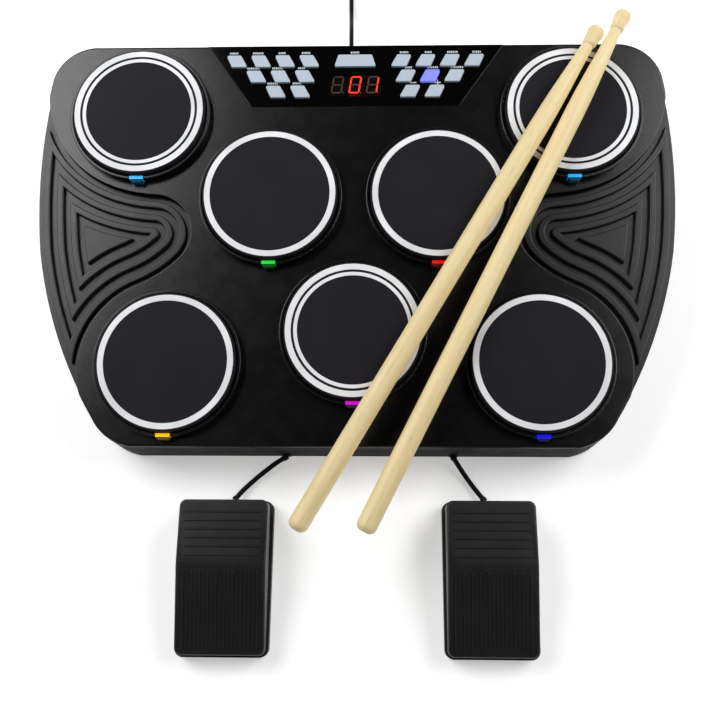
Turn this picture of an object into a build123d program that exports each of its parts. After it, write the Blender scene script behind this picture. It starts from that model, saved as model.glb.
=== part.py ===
from build123d import *
import os
from math import cos, radians, sin, tan

# Electronic drum pad: a table-top drum with seven pads, a control panel, two foot pedals and
# two sticks.  Millimetres.  X runs across the drum, +Y to its back, +Z up.  The origin is the
# middle of the whole set's footprint, on the floor.

os.makedirs("parts", exist_ok=True)

# ---- driving dimensions ------------------------------------------------------------------
CENTRE_Y = 57.8              # middle of the drum, behind the middle of the whole set
TILT = radians(6.5)          # slope of the playing deck, rising to the back
DECK_Z = 53.0                # height of the deck's middle above the floor
FOOT_H = 3.0                 # rubber feet under the drum
WALL = 3.0                   # casing walls and deck
PARTING = 15.0               # joint between the casings, below the deck
SEAM_H = 0.8                 # groove round the joint
SEAM_DEPTH = 0.6
DEPTH = 294.0                # front edge to back edge, along the deck

RING_R = 46.0                # flat top of a pad
PAD_R = 47.4                 # rubber pad
PAD_TOP = 9.0                # pad surface above the deck
CUP_R = 48.0                 # inside of the cup that a pad sits in
RIM_R = 50.5                 # outside of the cup
RIM_H = 5.5                  # cup's rim above the deck
CUP_FLOOR = -4.0
CUP_BASE = -6.5
FOAM_H = 3.0
PLATE_H = 2.0
PAD_CENTRES = [(-153.9, 91.1), (-58.7, 28.7), (58.7, 28.7), (153.9, 91.1),
               (-125.9, -90.4), (0.0, -68.6), (125.9, -90.4)]
LIGHT_W = 9.5                # indicator window at the front of each rim

WING_TOP = -5.0              # ribbed side panel, below the deck
WING_T = 3.0
RIDGE_H = 3.0
RIDGE_W = 4.8
RIDGE_PITCH = 9.7
RIDGE_EDGE = 4.0             # panel's edge to its first ridge

FASCIA_TOP = -0.4
FASCIA_T = 1.2
FASCIA_FRONT_Y = 98.4
FASCIA_BACK_HALF = 108.5
FASCIA_FRONT_HALF = 75.0
LEDGE = 3.5                  # casing ledge under the fascia's edge

KEY_TOP = 1.4
KEY_H = 9.4
KEY_BACK_W = 10.6
KEY_FRONT_W = 11.4
KEY_LEAN = 4.6               # shift of the back edge against the front edge
KEY_PITCH = 17.6
KEY_ROW_Y = [133.6, 121.5, 109.5]
KEY_ROW_COUNT = [4, 3, 2]
KEY_INNER_X = 33.6
KEY_ROW_STEP = 3.15
KEY_TRAVEL = 1.0
POWER_Y = 133.7
BOARD_TOP = -11.5            # key board, below the deck
BOARD_T = 1.6

DISPLAY_W = 38.0
DISPLAY_H = 17.5
DISPLAY_Y = 115.3

# The pedals' cords, from the drum's front wall to the pedals; the drum's middle is x 0, y 0.
PEDAL_ROUTES = {
    "left": [(-48.8, -148.6, 8.8), (-53.3, -150.9, 7.2), (-59.4, -154.9, 4.4), (-66.2, -160.0, 2.8),
             (-72.4, -165.5, 2.5), (-77.6, -170.8, 3.2), (-81.1, -175.3, 4.0)],
    "right": [(70.0, -148.6, 8.6), (72.0, -151.4, 6.9), (75.3, -156.0, 4.2), (79.1, -161.4, 2.7),
              (83.0, -166.9, 2.6), (86.5, -171.6, 3.3), (89.0, -175.0, 4.0)],
}

STICK_L = 406.0
STICK_R = 6.8
STICK_GAP = 0.3

PEDAL_W = 62.0
PEDAL_L = 101.6
PEDAL_TOP = 28.0
PEDAL_FAR_Y = -178.0         # pedals' far ends, from the drum's middle
PEDAL_X = {"left": -85.4, "right": 91.7}
PEDAL_FLANGE_TOP = 7.5
PEDAL_CREASE = 43.0          # far end to the crease in the treadle

CORD_R = 1.75
POWER_R = 1.8
JACK_X = -4.8
JACK_Z = 22.1

UP = (0, 0, 1)
DECK_NORMAL = (0, -sin(TILT), cos(TILT))
deck = Plane(origin=(0, CENTRE_Y, DECK_Z), x_dir=(1, 0, 0), z_dir=DECK_NORMAL)


def level(height):
    """A plane parallel to the deck, straight above or below it."""
    return Plane(origin=(0, CENTRE_Y, DECK_Z + height / cos(TILT)), x_dir=(1, 0, 0), z_dir=DECK_NORMAL)


def rise(height):
    """The upright distance between two levels."""
    return height / cos(TILT)


def on_plan(x, y):
    """A point given from the drum's middle, on the floor plan."""
    return (x, y + CENTRE_Y)


def meets_wall(end, beside, wall_y):
    """Where a cord's end run, carried on straight, meets an upright wall across Y."""
    end = Vector(*end)
    run = end - Vector(*beside)
    return end + run * ((wall_y - end.Y) / run.Y)


def save(piece, name):
    piece.part.label = name
    export_step(piece.part, f"parts/{name}.step")


# ---- profiles, drawn from the drum's middle ----------------------------------------------
with BuildSketch() as outline:
    with BuildLine():
        back = Line((0, DEPTH / 2), (187, DEPTH / 2))
        back_corner = ThreePointArc(back @ 1, (211.5, 138.5), (221.5, 121))
        side = ThreePointArc(back_corner @ 1, (226.7, 55), (222.5, -9))
        flank = ThreePointArc(side @ 1, (206.5, -68), (177, -127.5))
        front_corner = ThreePointArc(flank @ 1, (167.4, -139.2), (150, -DEPTH / 2))
        Line(front_corner @ 1, (0, -DEPTH / 2))
        mirror(about=Plane.YZ)
    make_face()

with BuildSketch() as inner_outline:
    add(outline.sketch)
    offset(amount=-WALL)

# The outline as it falls on the floor plan, under the sloping deck.
with BuildSketch() as floor_outline:
    add(outline.sketch)
    scale(by=(1, cos(TILT), 1))

with BuildSketch() as seam_outline:
    add(outline.sketch)
    offset(amount=-SEAM_DEPTH)

# Everything outside the curved seam between the deck and the right-hand side panel.
with BuildSketch() as beyond_seam:
    with BuildLine():
        upper = TangentArc((221.9, 124), (172, 38), tangent=(cos(radians(-81)), sin(radians(-81))))
        shoulder = TangentArc(upper @ 1, (141, 31.5), tangent=upper % 1)
        nose = TangentArc(shoulder @ 1, (122.5, -15.5), tangent=shoulder % 1)
        hip = TangentArc(nose @ 1, (151, -35), tangent=nose % 1)
        lower = TangentArc(hip @ 1, (187, -108), tangent=hip % 1)
        Polyline(lower @ 1, (182, -128), (260, -128), (260, 140), (221.6, 140), upper @ 0)
    make_face()

with BuildSketch() as side_recess:
    add(beyond_seam.sketch)
    offset(amount=WALL)
    mirror(about=Plane.YZ)


def fascia_profile(inset):
    """The control panel's trapezoid; its back edge is the drum's back edge when inset is 0."""
    back_y = DEPTH / 2 - 1.5 * inset
    slope = (FASCIA_BACK_HALF - FASCIA_FRONT_HALF) / (DEPTH / 2 - FASCIA_FRONT_Y)
    front_y = FASCIA_FRONT_Y + inset
    side_inset = inset * (1 + slope**2) ** 0.5
    front_half = FASCIA_FRONT_HALF + slope * inset - side_inset
    back_half = front_half + slope * (back_y - front_y)
    with BuildSketch() as profile:
        Polygon((-front_half, front_y), (front_half, front_y), (back_half, back_y), (-back_half, back_y),
                align=None)
    return profile.sketch


def key_profile(side, x, y, grow=0.0):
    """A leaning key; side is 1 on the right of the panel and -1 on the left."""
    back_x = x + side * KEY_LEAN / 2
    front_x = x - side * KEY_LEAN / 2
    with BuildSketch() as profile:
        Polygon((back_x - KEY_BACK_W / 2, y + KEY_H / 2), (front_x - KEY_FRONT_W / 2, y - KEY_H / 2),
                (front_x + KEY_FRONT_W / 2, y - KEY_H / 2), (back_x + KEY_BACK_W / 2, y + KEY_H / 2),
                align=None)
        fillet(profile.vertices(), 1.3)
        if grow:
            offset(amount=grow)
    return profile.sketch


def power_key_profile(grow=0.0):
    with BuildSketch() as profile:
        Polygon((-12.2, POWER_Y + KEY_H / 2), (-15.2, POWER_Y - KEY_H / 2),
                (15.2, POWER_Y - KEY_H / 2), (12.2, POWER_Y + KEY_H / 2), align=None)
        fillet(profile.vertices(), 1.3)
        if grow:
            offset(amount=grow)
    return profile.sketch


# Every key's name, its profile at a given growth, and its middle.
keys = {"power_key": (power_key_profile, (0.0, POWER_Y))}
for group, side in (("left", -1), ("right", 1)):
    number = 0
    for row_y, count, row in zip(KEY_ROW_Y, KEY_ROW_COUNT, range(3)):
        for column in range(count):
            number += 1
            x = side * (KEY_INNER_X + KEY_ROW_STEP * row + KEY_PITCH * column)

            def profile_of(grow=0.0, side=side, x=x, y=row_y):
                return key_profile(side, x, y, grow)

            keys[f"{group}_key_{number}"] = (profile_of, (x, row_y))

# ---- casing ------------------------------------------------------------------------------
SCREW_POINTS = [(side * x, y) for side in (-1, 1)
                for x, y in ((103, -10), (62, -134), (97, 86), (203, 125), (158, -133))]
BOSS_R = 4.0
SCREW_R = 1.45
SCREW_HEAD_R = 2.9
BOARD_POSTS = [(-105, 138), (105, 138), (-81, 99.5), (81, 99.5)]

with BuildPart() as top_casing:
    with BuildSketch(level(SEAM_H - PARTING)):
        add(outline.sketch)
    extrude(amount=rise(PARTING - SEAM_H), dir=UP)
    fillet(top_casing.faces().sort_by(Axis((0, 0, 0), DECK_NORMAL))[-1].outer_wire().edges(), 2.0)
    with BuildSketch(level(-PARTING)):
        add(seam_outline.sketch)
    extrude(amount=rise(SEAM_H), dir=UP)
    with BuildSketch(level(WING_TOP - WING_T)):
        add(beyond_seam.sketch)
        mirror(about=Plane.YZ)
    extrude(amount=rise(20), dir=UP, mode=Mode.SUBTRACT)
    with BuildSketch(level(-PARTING)):
        add(inner_outline.sketch)
    extrude(amount=rise(PARTING + WING_TOP - WING_T - WALL), dir=UP, mode=Mode.SUBTRACT)
    with BuildSketch(level(WING_TOP - WING_T - WALL)):
        add(inner_outline.sketch)
        add(side_recess.sketch, mode=Mode.SUBTRACT)
    extrude(amount=rise(-(WING_TOP - WING_T)), dir=UP, mode=Mode.SUBTRACT)
    with BuildSketch(level(-PARTING)):
        with Locations(*SCREW_POINTS):
            Circle(BOSS_R)
    extrude(amount=rise(PARTING - WALL / 2), dir=UP)
    with BuildSketch(deck.offset(BOARD_TOP)):
        with Locations(*BOARD_POSTS):
            Circle(3.0)
    extrude(amount=-BOARD_TOP - WALL / 2)
    with BuildSketch(deck.offset(BOARD_TOP - BOARD_T - 0.8)):
        with Locations(*BOARD_POSTS):
            Circle(1.4)
    extrude(amount=BOARD_T + 2)
    with BuildSketch(deck.offset(CUP_BASE)):
        with Locations(*PAD_CENTRES):
            Circle(RIM_R)
    extrude(amount=RIM_H - CUP_BASE)
    with BuildSketch(deck.offset(CUP_FLOOR)):
        with Locations(*PAD_CENTRES):
            Circle(CUP_R)
    extrude(amount=RIM_H - CUP_FLOOR + 1, mode=Mode.SUBTRACT)
    rims = top_casing.edges().filter_by(GeomType.CIRCLE).group_by(Axis((0, 0, 0), DECK_NORMAL))[-1]
    fillet(rims, 0.8)
    with BuildSketch(deck):
        with Locations(*[(x, y - CUP_R - 2) for x, y in PAD_CENTRES]):
            Rectangle(LIGHT_W + 0.2, 8)
    extrude(amount=RIM_H + 1, mode=Mode.SUBTRACT)
    with BuildSketch(deck.offset(CUP_BASE)):
        with Locations(*[(x, y + 22) for x, y in PAD_CENTRES]):
            Circle(2.5)
    extrude(amount=CUP_FLOOR - CUP_BASE + 1, mode=Mode.SUBTRACT)
    with BuildSketch(level(FASCIA_TOP - FASCIA_T)):
        add(fascia_profile(-0.15))
        with Locations((0, DEPTH / 2)):
            Rectangle(2 * FASCIA_BACK_HALF, 4)
    extrude(amount=rise(6), dir=UP, mode=Mode.SUBTRACT)
    with BuildSketch(level(-WALL - 1)):
        add(fascia_profile(LEDGE))
    extrude(amount=rise(WALL + 2), dir=UP, mode=Mode.SUBTRACT)
    with BuildSketch(level(-PARTING)):
        with Locations(*SCREW_POINTS):
            Circle(SCREW_R + 0.05)
    extrude(amount=rise(PARTING - WALL), dir=UP, mode=Mode.SUBTRACT)
save(top_casing, "top_casing")

SCREW_SEAT = 8.0             # screw head's seat, below the joint of the casings
SCREW_L = 16.0
MAIN_BOARD_Z = 14.0
MAIN_BOARD_POSTS = [(-55, 62), (55, 62), (-55, 132), (55, 132)]
SPEAKER_POINTS = [(-150, 55), (150, 55)]
BACK_WALL_Y = DEPTH / 2 * cos(TILT)
GLAND_R = 2.3                # in the drum's front wall
GLAND_FLANGE_R = 3.0
GLAND_FLANGE_T = 1.2
EXITS = [meets_wall(route[0], route[1], -BACK_WALL_Y - GLAND_FLANGE_T) for route in PEDAL_ROUTES.values()]


def parting_z(y):
    """Height of the casings' joint above a point of the floor plan, from the drum's middle."""
    return DECK_Z - rise(PARTING) + y * tan(TILT)


with BuildPart() as bottom_casing:
    with BuildSketch(level(-PARTING)):
        add(outline.sketch)
    extrude(amount=60, dir=(0, 0, -1))
    with BuildSketch(level(-PARTING)):
        add(inner_outline.sketch)
    extrude(amount=60, dir=(0, 0, -1), mode=Mode.SUBTRACT)
    with BuildSketch(Plane.XY.offset(FOOT_H)):
        with Locations((0, CENTRE_Y)):
            Rectangle(500, 400)
    extrude(amount=-80, mode=Mode.SUBTRACT)
    with BuildSketch(Plane((0, CENTRE_Y, FOOT_H))):
        add(floor_outline.sketch)
    extrude(amount=WALL)
    fillet(bottom_casing.faces().sort_by(Axis.Z)[0].outer_wire().edges(), 1.2)
    with BuildSketch(Plane((0, CENTRE_Y, FOOT_H))):
        with Locations(*[(x, y * cos(TILT)) for x, y in SCREW_POINTS]):
            Circle(BOSS_R + 1)
    extrude(amount=60)
    with BuildSketch(Plane((0, CENTRE_Y, FOOT_H))):
        with Locations(*MAIN_BOARD_POSTS):
            Circle(3.5)
    extrude(amount=MAIN_BOARD_Z - FOOT_H)
    with BuildSketch(Plane((0, CENTRE_Y, FOOT_H))):
        with Locations(*MAIN_BOARD_POSTS):
            Circle(1.4)
    extrude(amount=MAIN_BOARD_Z - FOOT_H + BOARD_T + 0.8)
    split(bisect_by=level(-PARTING), keep=Keep.BOTTOM)
    for x, y in SCREW_POINTS:
        plan_y = y * cos(TILT)
        with BuildSketch(Plane((x, CENTRE_Y + plan_y, 0))):
            Circle(SCREW_HEAD_R + 0.4)
        extrude(amount=parting_z(plan_y) - SCREW_SEAT, mode=Mode.SUBTRACT)
        with BuildSketch(Plane((x, CENTRE_Y + plan_y, 0))):
            Circle(SCREW_R + 0.3)
        extrude(amount=60, mode=Mode.SUBTRACT)
    with BuildSketch(Plane((0, CENTRE_Y, 0))):
        with Locations(*SPEAKER_POINTS):
            with GridLocations(6.0, 0, 7, 1):
                SlotOverall(34, 2.6, rotation=90)
    extrude(amount=FOOT_H + WALL + 1, mode=Mode.SUBTRACT)
    for point in EXITS:
        with BuildSketch(Plane((point.X, CENTRE_Y - BACK_WALL_Y - 1, point.Z), z_dir=(0, 1, 0))):
            Circle(GLAND_R + 0.05)
        extrude(amount=WALL + 2, mode=Mode.SUBTRACT)
    with BuildSketch(Plane((JACK_X, CENTRE_Y + BACK_WALL_Y + 1, JACK_Z), z_dir=(0, -1, 0))):
        Circle(4.6)
    extrude(amount=WALL + 2, mode=Mode.SUBTRACT)
save(bottom_casing, "bottom_casing")

# ---- side panels -------------------------------------------------------------------------
RIDGE_INSETS = [RIDGE_EDGE + RIDGE_PITCH * n for n in range(3)]
CENTRE_INSET = RIDGE_EDGE + RIDGE_PITCH * 3


def side_inset(inset):
    """The right-hand side panel's outline, drawn in by the given distance all round."""
    with BuildSketch() as inner:
        offset(outline.sketch, amount=-inset)
        offset(beyond_seam.sketch, amount=-inset, mode=Mode.INTERSECT)
    return inner.sketch


with BuildPart() as side_panels:
    with BuildSketch(level(WING_TOP - WING_T)):
        add(side_inset(0.1))
    extrude(amount=rise(WING_T), dir=UP)
    for inset in RIDGE_INSETS:
        with BuildSketch(level(WING_TOP)):
            add(side_inset(inset))
            add(side_inset(inset + RIDGE_W), mode=Mode.SUBTRACT)
        extrude(amount=rise(RIDGE_H), dir=UP)
    with BuildSketch(level(WING_TOP)):
        add(side_inset(CENTRE_INSET))
    extrude(amount=rise(RIDGE_H), dir=UP)
    mirror(about=Plane.YZ)
save(side_panels, "side_panels")

# ---- control panel -----------------------------------------------------------------------
FASCIA_BACK = DEPTH / 2 - 0.4
WINDOW_LIP = 1.5

with BuildPart() as control_fascia:
    with BuildSketch(level(FASCIA_TOP - FASCIA_T)):
        add(fascia_profile(0))
        with Locations((0, DEPTH / 2)):
            Rectangle(300, 2 * (DEPTH / 2 - FASCIA_BACK), mode=Mode.SUBTRACT)
    extrude(amount=rise(FASCIA_T), dir=UP)
    fillet(control_fascia.faces().sort_by(Axis((0, 0, 0), DECK_NORMAL))[-1].edges(), 0.3)
    with BuildSketch(deck.offset(-3)):
        for profile, _ in keys.values():
            add(profile(0.25))
        with Locations((0, DISPLAY_Y)):
            Rectangle(DISPLAY_W, DISPLAY_H)
    extrude(amount=4, mode=Mode.SUBTRACT)
save(control_fascia, "control_fascia")

with BuildPart() as display_window:
    with BuildSketch(deck.offset(FASCIA_TOP - FASCIA_T)):
        with Locations((0, DISPLAY_Y)):
            Rectangle(DISPLAY_W - 0.1, DISPLAY_H - 0.1)
    extrude(amount=FASCIA_T)
    with BuildSketch(deck.offset(FASCIA_TOP - FASCIA_T - 0.8)):
        with Locations((0, DISPLAY_Y)):
            Rectangle(DISPLAY_W + 2 * WINDOW_LIP, DISPLAY_H + 2 * WINDOW_LIP)
    extrude(amount=0.8)
save(display_window, "display_window")

KEY_LIP_TOP = -1.8
KEY_LIP_T = 1.2
KEY_LIP = 0.8
SWITCH_TOP = -7.65
STEM_END = SWITCH_TOP + KEY_TRAVEL + 0.05

for name, (profile, middle) in keys.items():
    with BuildPart() as key:
        with BuildSketch(deck.offset(KEY_LIP_TOP - KEY_LIP_T)):
            add(profile(KEY_LIP))
        extrude(amount=KEY_LIP_T)
        with BuildSketch(deck.offset(KEY_LIP_TOP)):
            add(profile())
        extrude(amount=KEY_TOP - KEY_LIP_TOP)
        fillet(key.faces().sort_by(Axis((0, 0, 0), DECK_NORMAL))[-1].edges(), 0.5)
        with BuildSketch(deck.offset(STEM_END)):
            with Locations(middle):
                Rectangle(4, 4)
        extrude(amount=KEY_LIP_TOP - KEY_LIP_T - STEM_END)
    save(key, name)

with BuildPart() as key_board:
    with BuildSketch(deck.offset(BOARD_TOP - BOARD_T)):
        Polygon((-90, 95), (90, 95), (112, 141), (-112, 141), align=None)
        with Locations(*BOARD_POSTS):
            Circle(1.5, mode=Mode.SUBTRACT)
    extrude(amount=BOARD_T)
save(key_board, "key_board")

with BuildPart() as key_switches:
    with BuildSketch(deck.offset(BOARD_TOP)):
        with Locations(*[middle for _, middle in keys.values()]):
            Rectangle(6, 6)
    extrude(amount=3.5)
    with BuildSketch(deck.offset(BOARD_TOP + 3.5)):
        with Locations(*[middle for _, middle in keys.values()]):
            Circle(1.75)
    extrude(amount=SWITCH_TOP - BOARD_TOP - 3.5)
save(key_switches, "key_switches")

MODULE_TOP = FASCIA_TOP - FASCIA_T - 0.8
with BuildPart() as digit_display:
    with BuildSketch(deck.offset(BOARD_TOP)):
        with Locations((0, DISPLAY_Y)):
            Rectangle(DISPLAY_W + 1, DISPLAY_H + 1)
    extrude(amount=MODULE_TOP - BOARD_TOP)
save(digit_display, "digit_display")

# ---- pads --------------------------------------------------------------------------------
PLATE_Z = CUP_FLOOR + FOAM_H
with BuildPart() as foam_rings:
    with BuildSketch(deck.offset(CUP_FLOOR)):
        with Locations(*PAD_CENTRES):
            Circle(44)
            Circle(30, mode=Mode.SUBTRACT)
    extrude(amount=FOAM_H)
save(foam_rings, "foam_rings")

with BuildPart() as pad_plates:
    with BuildSketch(deck.offset(PLATE_Z)):
        with Locations(*PAD_CENTRES):
            Circle(46.8)
    extrude(amount=PLATE_H)
save(pad_plates, "pad_plates")

with BuildPart() as piezo_sensors:
    with BuildSketch(deck.offset(PLATE_Z - 0.6)):
        with Locations(*PAD_CENTRES):
            Circle(13.5)
    extrude(amount=0.6)
save(piezo_sensors, "piezo_sensors")

for number, centre in enumerate(PAD_CENTRES, 1):
    with BuildPart() as pad:
        with BuildSketch(deck.offset(PLATE_Z + PLATE_H)):
            with Locations(centre):
                Circle(PAD_R)
        extrude(amount=PAD_TOP - PLATE_Z - PLATE_H)
        fillet(pad.faces().sort_by(Axis((0, 0, 0), DECK_NORMAL))[-1].edges(), PAD_R - RING_R)
    save(pad, f"pad_skin_{number}")

LIGHT_TOP = RIM_H + 0.7
LIGHT_BACK = CUP_R + 0.1
LIGHT_FRONT = RIM_R + 1.4
with BuildPart() as indicator_windows:
    for x, y in PAD_CENTRES:
        with BuildSketch(deck):
            with Locations((x, y - (LIGHT_BACK + LIGHT_FRONT) / 2)):
                Rectangle(LIGHT_W, LIGHT_FRONT - LIGHT_BACK)
        extrude(amount=LIGHT_TOP)
    fronts = indicator_windows.edges().filter_by(Axis((0, 0, 0), DECK_NORMAL))
    fronts = [e for e in fronts if min((deck.to_local_coords(e @ 0.5).Y - y + LIGHT_FRONT) ** 2
                                       for _, y in PAD_CENTRES) < 0.01]
    fillet(fronts, 1.4)
save(indicator_windows, "indicator_windows")

# ---- screws, feet, boards and speakers ---------------------------------------------------
with BuildPart() as casing_screws:
    for x, y in SCREW_POINTS:
        plan_y = y * cos(TILT)
        seat = parting_z(plan_y) - SCREW_SEAT
        with BuildSketch(Plane((x, CENTRE_Y + plan_y, seat - 2.2))):
            Circle(SCREW_HEAD_R)
        extrude(amount=2.2)
        with BuildSketch(Plane((x, CENTRE_Y + plan_y, seat))):
            Circle(SCREW_R)
        extrude(amount=SCREW_L)
save(casing_screws, "casing_screws")

FOOT_POINTS = [(-185, 112), (185, 112), (-140, -122), (140, -122)]
PEDAL_BASE_Z = 1.5
PEDAL_FOOT_POINTS = [(x + dx, PEDAL_FAR_Y - PEDAL_L / 2 + dy)
                     for x in PEDAL_X.values() for dx in (-24, 24) for dy in (-42, 42)]
with BuildPart() as rubber_feet:
    with BuildSketch(Plane((0, CENTRE_Y, 0))):
        with Locations(*FOOT_POINTS):
            Circle(9)
    extrude(amount=FOOT_H)
    with BuildSketch(Plane((0, CENTRE_Y, 0))):
        with Locations(*PEDAL_FOOT_POINTS):
            Circle(4)
    extrude(amount=PEDAL_BASE_Z)
save(rubber_feet, "rubber_feet")

with BuildPart() as main_board:
    with BuildSketch(Plane((0, CENTRE_Y, MAIN_BOARD_Z))):
        with Locations((0, 97)):
            Rectangle(124, 84)
        with Locations(*MAIN_BOARD_POSTS):
            Circle(1.5, mode=Mode.SUBTRACT)
    extrude(amount=BOARD_T)
    with BuildSketch(Plane((0, CENTRE_Y, MAIN_BOARD_Z + BOARD_T))):
        with Locations((-20, 100), (22, 112)):
            Rectangle(14, 14)
        with Locations((0, 66)):
            with GridLocations(12, 0, 7, 1):
                Rectangle(7, 5)
        with Locations((40, 90)):
            Rectangle(18, 8)
    extrude(amount=2.0)
    with BuildSketch(Plane((0, CENTRE_Y, MAIN_BOARD_Z + BOARD_T))):
        with Locations((38, 122), (48, 108), (-42, 118)):
            Circle(4)
    extrude(amount=11)
save(main_board, "main_board")

SPEAKER_Z = FOOT_H + WALL
with BuildPart() as speakers:
    for x, y in SPEAKER_POINTS:
        with BuildSketch(Plane((x, CENTRE_Y + y, 0), x_dir=(1, 0, 0), z_dir=(0, -1, 0))):
            Polygon((0, SPEAKER_Z + 4), (16, SPEAKER_Z + 1), (24, SPEAKER_Z), (28.5, SPEAKER_Z),
                    (28.5, SPEAKER_Z + 3), (24, SPEAKER_Z + 3), (15, SPEAKER_Z + 14), (15, SPEAKER_Z + 22),
                    (0, SPEAKER_Z + 22), align=None)
        revolve(axis=Axis((x, CENTRE_Y + y, 0), (0, 0, 1)))
save(speakers, "speakers")

# ---- power inlet, plug and cord ----------------------------------------------------------
with BuildPart() as power_jack:
    with BuildSketch(Plane((JACK_X, CENTRE_Y, MAIN_BOARD_Z + BOARD_T))):
        with Locations((0, 135)):
            Rectangle(9, 14)
    extrude(amount=11)
    with BuildSketch(Plane((JACK_X, CENTRE_Y + 141, JACK_Z), z_dir=(0, 1, 0))):
        Circle(4.4)
    extrude(amount=BACK_WALL_Y - 141)
    with BuildSketch(Plane((JACK_X, CENTRE_Y + BACK_WALL_Y, JACK_Z), z_dir=(0, -1, 0))):
        Circle(2.9)
        Circle(0.95, mode=Mode.SUBTRACT)
    extrude(amount=11, mode=Mode.SUBTRACT)
save(power_jack, "power_jack")

PLUG_GAP = 0.8
PLUG_END_Y = BACK_WALL_Y + PLUG_GAP + 33
with BuildPart() as power_barrel_plug:
    with BuildSketch(Plane((JACK_X, CENTRE_Y, JACK_Z), x_dir=(1, 0, 0), z_dir=(0, 0, 1))):
        with BuildLine():
            Polyline((0, PLUG_END_Y), (2.6, PLUG_END_Y), (3.4, PLUG_END_Y - 12), (4.8, PLUG_END_Y - 14),
                     (4.8, BACK_WALL_Y + PLUG_GAP), (2.75, BACK_WALL_Y + PLUG_GAP),
                     (2.75, BACK_WALL_Y - 9), (1.1, BACK_WALL_Y - 9), (1.1, BACK_WALL_Y + PLUG_GAP),
                     (0, BACK_WALL_Y + PLUG_GAP), (0, PLUG_END_Y))
        make_face()
    revolve(axis=Axis((JACK_X, CENTRE_Y, JACK_Z), (0, 1, 0)))
save(power_barrel_plug, "power_barrel_plug")


def bends(points):
    """Each corner's radius: 0.45 of the shorter run, over the tangent of half the turn."""
    radii = []
    for before, corner, after in zip(points, points[1:], points[2:]):
        first = Vector(corner) - Vector(before)
        second = Vector(after) - Vector(corner)
        turn = radians(first.get_angle(second))
        radii.append(0.45 * min(first.length, second.length) / tan(turn / 2))
    return radii


def cord_tube(points, radius):
    """A cord's tube along straight runs joined by arcs, with its length and bends printed."""
    radii = bends(points)
    with BuildPart() as tube:
        with BuildLine() as route:
            FilletPolyline(*points, radius=radii)
        wire = route.wires()[0]
        with BuildSketch(Plane(origin=wire @ 0, z_dir=wire % 0)):
            Circle(radius)
        sweep(path=wire)
    section = 3.141593 * radius**2
    print(f"length {wire.length:.1f}, volume over section {tube.part.volume / section:.1f},",
          "bends", [round(bend, 1) for bend in radii])
    return tube


# The power cord, from its plug to where its coil starts; the drum's middle is x 0, y 0.
POWER_ROUTE = [(JACK_X, PLUG_END_Y, JACK_Z), (JACK_X, 190, JACK_Z), (-5.1, 203, 17.4), (-5.5, 216, 9.4),
               (-5.8, 229, 3.6), (-6.1, 247, 2.4), (-6.1, 259, 2.4)]
COIL_R = 20.0                # middle of the turns, three wide and four high
COIL_HALF_W = 5.7
COIL_H = 14.8
COIL_TURN_OUT = COIL_R + COIL_HALF_W - POWER_R
COIL_CENTRE = (POWER_ROUTE[-1][0] + COIL_TURN_OUT, 288.0)
TAIL_Z = COIL_H - POWER_R
PLUG_Z = 3.9
TAIL_ROUTE = [(COIL_CENTRE[0] + 15, COIL_CENTRE[1] + COIL_TURN_OUT, TAIL_Z),
              (COIL_CENTRE[0] + 23, COIL_CENTRE[1] + COIL_TURN_OUT, TAIL_Z),
              (COIL_CENTRE[0] + 32, COIL_CENTRE[1] + 23.0, 10.6),
              (COIL_CENTRE[0] + 41, COIL_CENTRE[1] + 20.4, 6.6),
              (COIL_CENTRE[0] + 50, COIL_CENTRE[1] + 16.6, PLUG_Z),
              (COIL_CENTRE[0] + 58, COIL_CENTRE[1] + 12.2, PLUG_Z)]


def placed(points):
    return [(x, y + CENTRE_Y, z) for x, y, z in points]


lead = cord_tube(placed(POWER_ROUTE), POWER_R)
tail = cord_tube(placed(TAIL_ROUTE), POWER_R)
with BuildPart() as power_cord:
    add(lead.part)
    add(tail.part)
save(power_cord, "power_cord")

coil_middle = Vector(COIL_CENTRE[0], COIL_CENTRE[1] + CENTRE_Y, 0)
with BuildPart() as power_coil:
    with BuildSketch(Plane(coil_middle, x_dir=(1, 0, 0), z_dir=(0, -1, 0))):
        with Locations((COIL_R, COIL_H / 2)):
            RectangleRounded(2 * COIL_HALF_W, COIL_H, 3.0)
    revolve(axis=Axis(coil_middle, (0, 0, 1)))
    start = Vector(*placed(POWER_ROUTE)[-1])
    with BuildSketch(Plane(origin=start, z_dir=(0, 1, 0))):
        Circle(POWER_R)
    extrude(amount=coil_middle.Y - start.Y)
    leave = Vector(*placed(TAIL_ROUTE)[0])
    with BuildSketch(Plane(origin=leave, z_dir=(-1, 0, 0))):
        Circle(POWER_R)
    extrude(amount=leave.X - coil_middle.X)
save(power_coil, "power_coil")

# ---- foot pedals -------------------------------------------------------------------------
BASE_W = PEDAL_W - 8
BASE_WALL = 2.0
FLOOR_Z = PEDAL_BASE_Z + 2.0
SKIN_T = 2.4
HEEL_TOP = 15.0
HINGE_FROM_FAR = PEDAL_L - 11.0
HINGE_Z = 9.5
PIN_R = 1.5
SKIRT_FAR_Z = 16.5
SKIRT_NEAR_Z = 8.0
ENTRY_R = 2.4                # gland in a pedal's far wall
ENTRY_FACE = 1.0             # its face, proud of the wall
SWITCH_FROM_FAR = 52.0
PRESSER_Z = 14.8             # foot of the post that presses the switch
EAR_X = 20.0
SPRING_FROM_FAR = 28.0
SPRING_R = 6.0
SPRING_WIRE = 0.6


def pedal_side(width, points, x):
    """A block with the given side view (distance from the far end, height), centred on x."""
    with BuildPart() as block:
        with BuildSketch(Plane((x, CENTRE_Y + PEDAL_FAR_Y, 0), x_dir=(0, -1, 0), z_dir=(-1, 0, 0))):
            Polygon(*points, align=None)
        extrude(amount=width / 2, both=True)
    return block.part


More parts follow.
